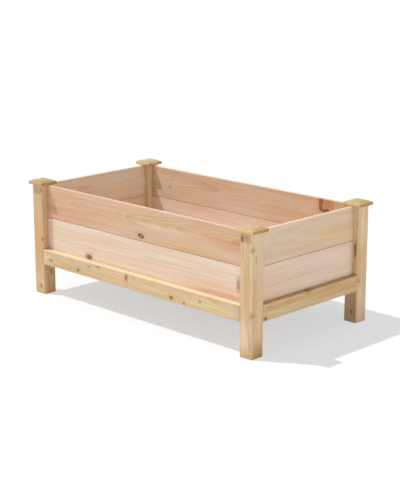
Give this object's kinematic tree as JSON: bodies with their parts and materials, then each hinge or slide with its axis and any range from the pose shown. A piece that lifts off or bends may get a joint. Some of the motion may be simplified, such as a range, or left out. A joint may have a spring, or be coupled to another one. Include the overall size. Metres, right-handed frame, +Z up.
{
  "type": "raised garden bed",
  "caption": "Rectangular wooden raised garden bed on short legs: square posts with bevelled caps, low rails, set-back dovetailed boards and a slatted floor.",
  "frame": {"origin": "centre of the bed's footprint on the ground", "axes": "+X along the long sides towards the right end in the picture, -Y out of the long side that faces the camera, +Z up"},
  "size_m": [1.2424, 0.6754, 0.478],
  "materials": {
    "post_wood": "planed, unfinished pale softwood with small knots",
    "cap_wood": "planed, unfinished pale softwood",
    "rail_wood": "planed, unfinished pale softwood with a rounded nosing",
    "board_wood": "planed, unfinished pinkish cedar with growth-ring figure and red-brown knots",
    "floor_wood": "rougher sawn softwood, unfinished",
    "dowel_wood": "turned beech, unfinished",
    "screw_steel": "zinc-plated"
  },
  "bodies": {
    "root": {"post_front_left": "post_wood", "cap_front_left": "cap_wood", "post_front_right": "post_wood", "cap_front_right": "cap_wood", "post_rear_right": "post_wood", "cap_rear_right": "cap_wood", "post_rear_left": "post_wood", "cap_rear_left": "cap_wood", "rail_front": "rail_wood", "board_front_lower": "board_wood", "board_front_upper": "board_wood", "cleat_front": "floor_wood", "rail_right": "rail_wood", "board_right_lower": "board_wood", "board_right_upper": "board_wood", "cleat_right": "floor_wood", "rail_rear": "rail_wood", "board_rear_lower": "board_wood", "board_rear_upper": "board_wood", "cleat_rear": "floor_wood", "rail_left": "rail_wood", "board_left_lower": "board_wood", "board_left_upper": "board_wood", "cleat_left": "floor_wood", "floor_beam": "floor_wood", "floor_slat_1": "floor_wood", "floor_slat_2": "floor_wood", "floor_slat_3": "floor_wood", "floor_slat_4": "floor_wood", "floor_slat_5": "floor_wood", "floor_slat_6": "floor_wood", "floor_slat_7": "floor_wood", "floor_slat_8": "floor_wood", "slat_screws": "screw_steel", "cleat_screws": "screw_steel", "cap_dowels": "dowel_wood"}
  },
  "joints": []
}
